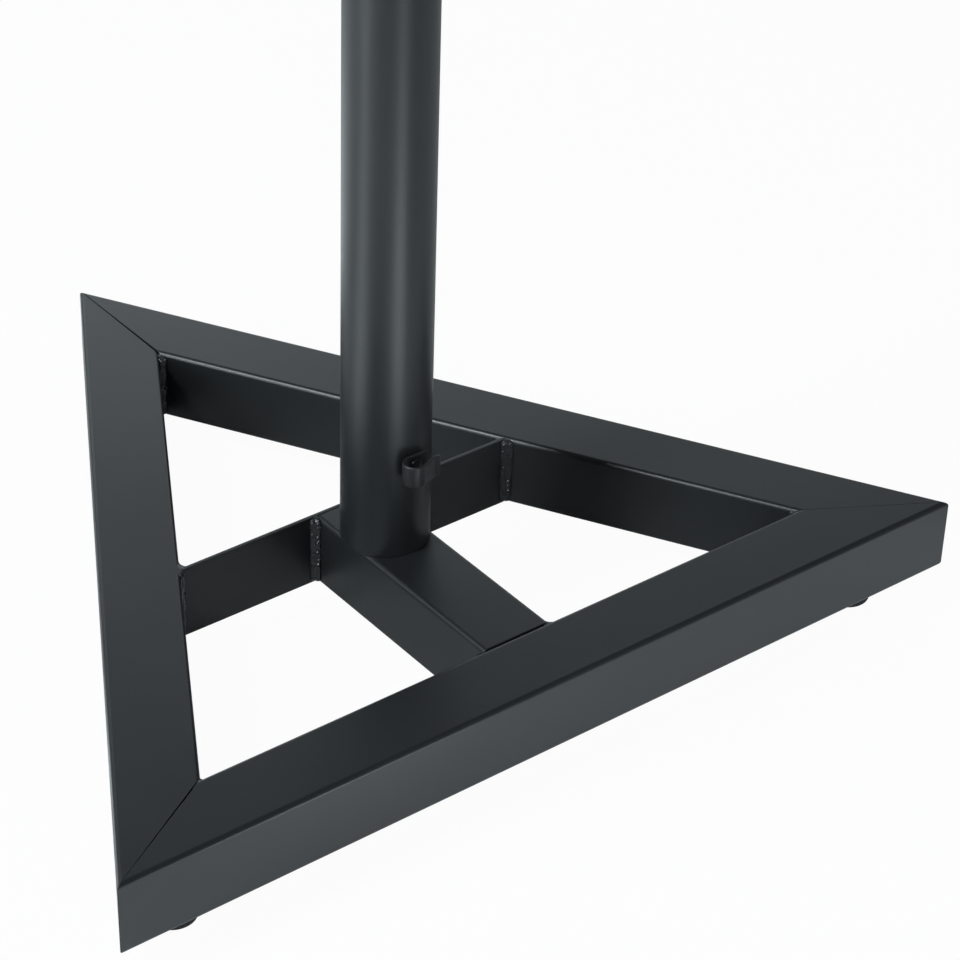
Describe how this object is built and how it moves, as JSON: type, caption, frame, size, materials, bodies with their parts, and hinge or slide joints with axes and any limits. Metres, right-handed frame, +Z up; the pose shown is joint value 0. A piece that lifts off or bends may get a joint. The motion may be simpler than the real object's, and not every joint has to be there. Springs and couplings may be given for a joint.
{
  "type": "sign stand",
  "caption": "Floor stand with a triangular welded tube base on rubber feet, a telescoping round pole with clamp collar and cable clip, and a tilting sign plate.",
  "frame": {"origin": "middle of the triangular base's plan box, on the floor", "axes": "+X along the front rail to the right, +Y from the front rail to the rear corner, +Z up along the pole"},
  "size_m": [0.4998, 0.4329, 1.1185],
  "materials": {
    "coated_steel": "satin black powder coat",
    "foot_rubber": "matte black rubber",
    "black_plastic": "satin black moulded plastic",
    "black_steel": "blackened steel",
    "plated_steel": "zinc plated",
    "insert_brass": "plain turned brass"
  },
  "bodies": {
    "stand": {"front_rail": "coated_steel", "left_rail": "coated_steel", "right_rail": "coated_steel", "stem_tube": "coated_steel", "cross_plate": "coated_steel", "mitre_welds": "coated_steel", "cross_plate_welds": "coated_steel", "stem_welds": "coated_steel", "left_foot": "foot_rubber", "right_foot": "foot_rubber", "rear_foot": "foot_rubber", "stem_spacer": "plated_steel", "pole_bolt": "plated_steel", "pole_bolt_washer": "plated_steel", "outer_pole": "coated_steel", "pole_plug": "plated_steel", "clip_rivet": "black_steel", "guide_sleeve": "black_plastic", "clamp_collar": "black_plastic", "collar_screw": "black_steel", "clamp_insert": "insert_brass"},
    "clip": {"cable_clip": "black_plastic"},
    "shoe": {"pressure_shoe": "black_plastic"},
    "clamp_screw": {"clamp_stud": "plated_steel", "clamp_knob": "black_plastic"},
    "mast": {"inner_pole": "coated_steel", "mast_guide": "black_plastic", "head_fork": "coated_steel", "fork_screws": "black_steel", "pivot_bolt": "black_steel", "pivot_nut": "black_steel", "friction_washers": "plated_steel"},
    "sign_head": {"tilt_bracket": "coated_steel", "sign_plate": "coated_steel", "plate_screws": "black_steel"}
  },
  "joints": [
    {"name": "mast_height", "type": "slide", "parent": "stand", "child": "mast", "axis": [0, 0, 1], "range_m": [-0.2, 0.2]},
    {"name": "head_tilt", "type": "hinge", "parent": "mast", "child": "sign_head", "pos_m": [0, -0.07051, 1.0435], "axis": [-1, 0, 0], "range_deg": [0, 90]},
    {"name": "shoe_press", "type": "slide", "parent": "stand", "child": "shoe", "axis": [0, 1, 0], "range_m": [0, 0.0025]},
    {"name": "knob_turn", "type": "hinge", "parent": "shoe", "child": "clamp_screw", "pos_m": [0, -0.07051, 0.7335], "axis": [0, 1, 0], "range_deg": [0, 720]},
    {"name": "clip_turn", "type": "hinge", "parent": "stand", "child": "clip", "pos_m": [0, -0.09301, 0.10925], "axis": [0, -1, 0], "range_deg": [-90, 90]}
  ],
  "couplings": [
    {"joint": "knob_turn", "follows": "shoe_press", "rad_per_m": 5026.5}
  ]
}
